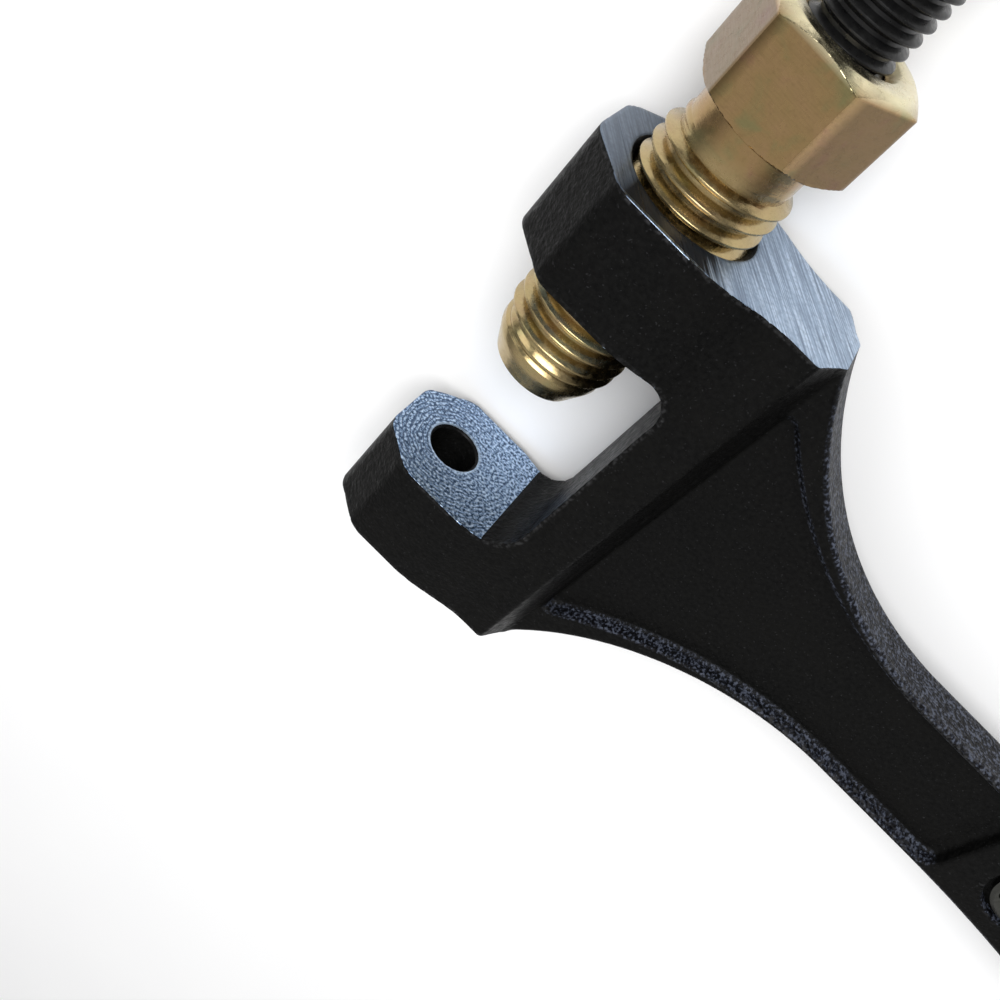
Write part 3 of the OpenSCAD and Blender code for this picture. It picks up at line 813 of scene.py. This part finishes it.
def make_sleeve():
    """The threaded sleeve with its hex head, bored for the screw, the punch and its spring."""
    nose_y, top_y = sleeve_low[1], sleeve_high[1]
    thread_y0, thread_y1 = nose_y + NOSE_H, SLEEVE_THREAD_TOP
    chamber_y = nose_y + CHAMBER_RISE
    shell = Shell()
    shape = hex_radius(HEX_FLATS, HEX_CORNER, HEX_TURN)
    corner = HEX_FLATS / 2 / math.cos(math.pi / 6)
    low_chamfer_r, top_chamfer_r = 8.25, 8.0
    segments = 216

    def cut_hex(limit):
        return lambda angle: np.minimum(shape(angle), limit)

    rows = [ring_y(r, y, segments) for r, y in (
        (2.6, nose_y + 0.02), (5.6, nose_y), (5.85, nose_y + 0.12), (6.7, nose_y + 2.0),
        (7.05, nose_y + 2.7), (7.25, nose_y + 3.3), (7.25, nose_y + 4.0), (7.1, nose_y + 4.2),
        (SLEEVE_ROOT, nose_y + 4.6),
        (SLEEVE_ROOT, thread_y1 - 0.4), (SLEEVE_ROOT + 0.08, thread_y1), (NECK_R, thread_y1 + 0.4),
        (NECK_R, HEX_Y0 - 0.5), (NECK_R + 0.15, HEX_Y0 - 0.15), (NECK_R + 0.5, HEX_Y0),
        (low_chamfer_r - 0.15, HEX_Y0))]
    for i in range(7):
        t = i / 6
        limit = low_chamfer_r + (corner - low_chamfer_r) * t * 1.02
        rows.append(ring_y(cut_hex(limit), HEX_Y0 + 0.05 + 0.75 * t, segments))
    rows.append(ring_y(shape, HEX_Y0 + 1.2, segments))
    rows.append(ring_y(shape, top_y - 1.6, segments))
    for i in range(33):
        t = i / 32
        limit = corner + 0.05 - (corner + 0.05 - top_chamfer_r) * t
        rows.append(ring_y(cut_hex(limit), top_y - 1.15 + 1.1 * t, segments))
    rows += [ring_y(r, y, segments) for r, y in (
        (7.8, top_y), (6.1, top_y), (5.95, top_y - 0.08), (SCREW_R + 0.15, top_y - 0.95),
        (SCREW_R + 0.1, top_y - 1.1), (SCREW_R + 0.1, SCREW_BORE_FOOT), (CHAMBER_R, SCREW_BORE_FOOT),
        (CHAMBER_R, chamber_y), (PUNCH_BORE_R, chamber_y), (PUNCH_BORE_R, nose_y + 0.6))]
    shell.loop(rows)
    phase = thread_phase(thread_y0, SLEEVE_PITCH)
    helix(shell, thread_y0, thread_y1, SLEEVE_PITCH, ridge(SLEEVE_PITCH, SLEEVE_ROOT, SLEEVE_R), phase)
    inner = ridge(SCREW_PITCH, SCREW_R + 0.12, SCREW_ROOT + 0.12, width=0.7)
    inner_y0 = 50.0
    phase = thread_phase(inner_y0, SCREW_PITCH) + math.pi
    helix(shell, inner_y0, top_y - 0.9, SCREW_PITCH, inner, phase)
    sleeve = new_object("sleeve_detail", shell.vertices, shell.faces, "sleeve", ZINC)
    smooth(sleeve, 32)
    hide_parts("clamp_sleeve")


def make_screw():
    """The drive screw: ball pocket, thread, turned head and detent bore, with no hole for the bar."""
    y0, y1 = screw_low[1], screw_high[1]
    bar_y = (bar_low[1] + bar_high[1]) / 2
    head_y0, head_r = SCREW_HEAD_Y0, SCREW_HEAD_R
    shell = Shell()
    thread_y1 = head_y0 - 3.0
    turned(shell, [(BALL_POCKET_R, y0 + 0.02), (3.6, y0), (SCREW_ROOT, y0 + 0.4), (SCREW_ROOT, thread_y1),
                   (SCREW_R - 0.2, thread_y1 + 0.5), (SCREW_R, thread_y1 + 0.9), (SCREW_R, head_y0 - 1.5),
                   (SCREW_R + 0.3, head_y0 - 0.8), (SCREW_R + 1.0, head_y0 - 0.2), (SCREW_R + 1.4, head_y0),
                   (6.9, head_y0 + 0.02), (7.6, head_y0 + 0.4), (7.9, head_y0 + 0.8), (head_r, head_y0 + 1.2),
                   (head_r, y1 - 2.4), (7.9, y1 - 2.0), (6.4, y1 - 0.3), (5.9, y1 - 0.05), (5.5, y1),
                   (2.4, y1), (PLUG_BORE_R, y1 - 0.3), (PLUG_BORE_R, PLUG_Y0), (DETENT_BORE_R, PLUG_Y0),
                   (DETENT_BORE_R, bar_y + 4.0), (SCREW_CORE_R, bar_y + 4.0),
                   (SCREW_CORE_R, y0 + BALL_POCKET_DEPTH), (BALL_POCKET_R, y0 + BALL_POCKET_DEPTH)], 128)
    helix(shell, y0 + 0.6, thread_y1 + 0.4, SCREW_PITCH, ridge(SCREW_PITCH, SCREW_ROOT, SCREW_R),
          thread_phase(y0 + 0.6, SCREW_PITCH))
    screw = new_object("screw_detail", shell.vertices, shell.faces, "screw", OXIDE)
    smooth(screw, 32)
    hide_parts("drive_screw")


def make_return_spring():
    """The coil that lifts the punch."""
    low, high = node_box("return_spring")
    wire_r, turns, segments, around = 0.4, 8.0, 40, 10
    coil_r = (high[0] - low[0]) / 2 - wire_r
    end_turns = 0.75
    run = high[1] - low[1] - 2 * wire_r
    shell = Shell()
    rows = []
    for i in range(int(turns * segments) + 1):
        turn = i / segments
        # the end turns lie nearly flat, as on a ground compression spring
        share = min(max((turn - end_turns) / (turns - 2 * end_turns), 0.0), 1.0)
        y = low[1] + wire_r + run * (0.03 + 0.94 * share)
        angle = 2 * math.pi * turn
        out = np.array([math.cos(angle), 0.0, -math.sin(angle)])
        ring = [out * (coil_r + wire_r * math.cos(a)) + np.array([0.0, y + wire_r * math.sin(a), 0.0])
                for a in np.arange(around) * 2 * math.pi / around]
        rows.append(np.array(ring))
    shell.grid(rows)
    spring = new_object("return_coil", shell.vertices, shell.faces, "seat", SPRING)
    smooth(spring, 60)
    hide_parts("return_spring")
    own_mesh(spring)


def polish_cad_node(name, material):
    """Gives a CAD node whose shape is right a finished material."""
    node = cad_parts[name]
    for slot in node.material_slots:
        slot.material = material


make_frame_body()
make_sleeve()
make_screw()
make_return_spring()
for node_name, node_material in CAD_FINISHES.items():
    polish_cad_node(node_name, node_material)


# ---------------------------------------------------------------- floor, lights, camera

# way to the softbox behind the tool, and the brightness of the surroundings at cosines from it
SOFTBOX_WAY = (0.05, -0.66, 0.75)
WALL_TONES = ((0.1, 0.22), (0.6, 0.3), (0.9, 0.75))


def make_floor():
    """A pale floor just under the tool."""
    n = Nodes("floor_pale", (0.95, 0.95, 0.95), 0.0, 0.8)
    n.colour(n.mix(n.noise(40.0, 2.0), (0.94, 0.94, 0.945), (0.97, 0.97, 0.97)))
    size, level = 3.0, CAD_BOX[0][2] - 0.0002
    mesh = bpy.data.meshes.new("floor")
    mesh.from_pydata([(-size, -size, level), (size, -size, level), (size, size, level), (-size, size, level)],
                     [], [(0, 1, 2, 3)])
    floor = bpy.data.objects.new("floor", mesh)
    mesh.materials.append(n.material)
    bpy.context.scene.collection.objects.link(floor)


def make_light(name, place, target, size, power):
    """A round area light, size in metres and power in watts."""
    light = bpy.data.lights.new(name, "AREA")
    light.shape = "DISK"
    light.size = size
    light.energy = power
    obj = bpy.data.objects.new(name, light)
    obj.location = place
    obj.rotation_euler = (Vector(target) - Vector(place)).to_track_quat("-Z", "Y").to_euler()
    bpy.context.scene.collection.objects.link(obj)


def make_camera():
    """The camera, with its three axes given as unit vectors."""
    right = Vector((0.7087, 0.5204, -0.4763))
    up = Vector((-0.7048, 0.4928, -0.5102))
    back = Vector((-0.0308, 0.6973, 0.7161))
    camera = bpy.data.cameras.new("camera")
    camera.sensor_width = 36
    camera.lens = 39.74
    camera.shift_x = 0.0667
    camera.shift_y = 0.0445
    camera.clip_start = 0.005
    obj = bpy.data.objects.new("camera", camera)
    turn = Matrix((right, up, back)).transposed().to_4x4()
    obj.matrix_world = Matrix.Translation((0.00253, 0.09441, 0.11296)) @ turn
    bpy.context.scene.collection.objects.link(obj)
    bpy.context.scene.camera = obj


def make_world():
    """Studio surroundings: a wide softbox behind the tool and darker walls round the rest."""
    world = bpy.data.worlds.new("studio")
    world.use_nodes = True
    tree = world.node_tree
    direction = tree.nodes.new("ShaderNodeTexCoord").outputs["Generated"]
    facing = tree.nodes.new("ShaderNodeVectorMath")
    facing.operation = "DOT_PRODUCT"
    tree.links.new(direction, facing.inputs[0])
    facing.inputs[1].default_value = SOFTBOX_WAY
    ramp = tree.nodes.new("ShaderNodeValToRGB")
    marks = ramp.color_ramp.elements
    marks.new(0.5)
    for mark, (height, grey) in zip(marks, WALL_TONES):
        mark.position = height
        mark.color = (grey, grey, grey, 1)
    tree.links.new(facing.outputs["Value"], ramp.inputs["Fac"])
    tree.links.new(ramp.outputs["Color"], tree.nodes["Background"].inputs["Color"])
    bpy.context.scene.world = world


bpy.context.scene.view_settings.view_transform = "Standard"
make_floor()
make_world()
make_light("key", (0.10, 0.55, 0.75), (0.04, 0.02, 0), 0.7, 9.0)
make_light("fill", (-0.6, 0.25, 0.5), (0.02, 0.02, 0), 0.6, 1.5)
make_camera()
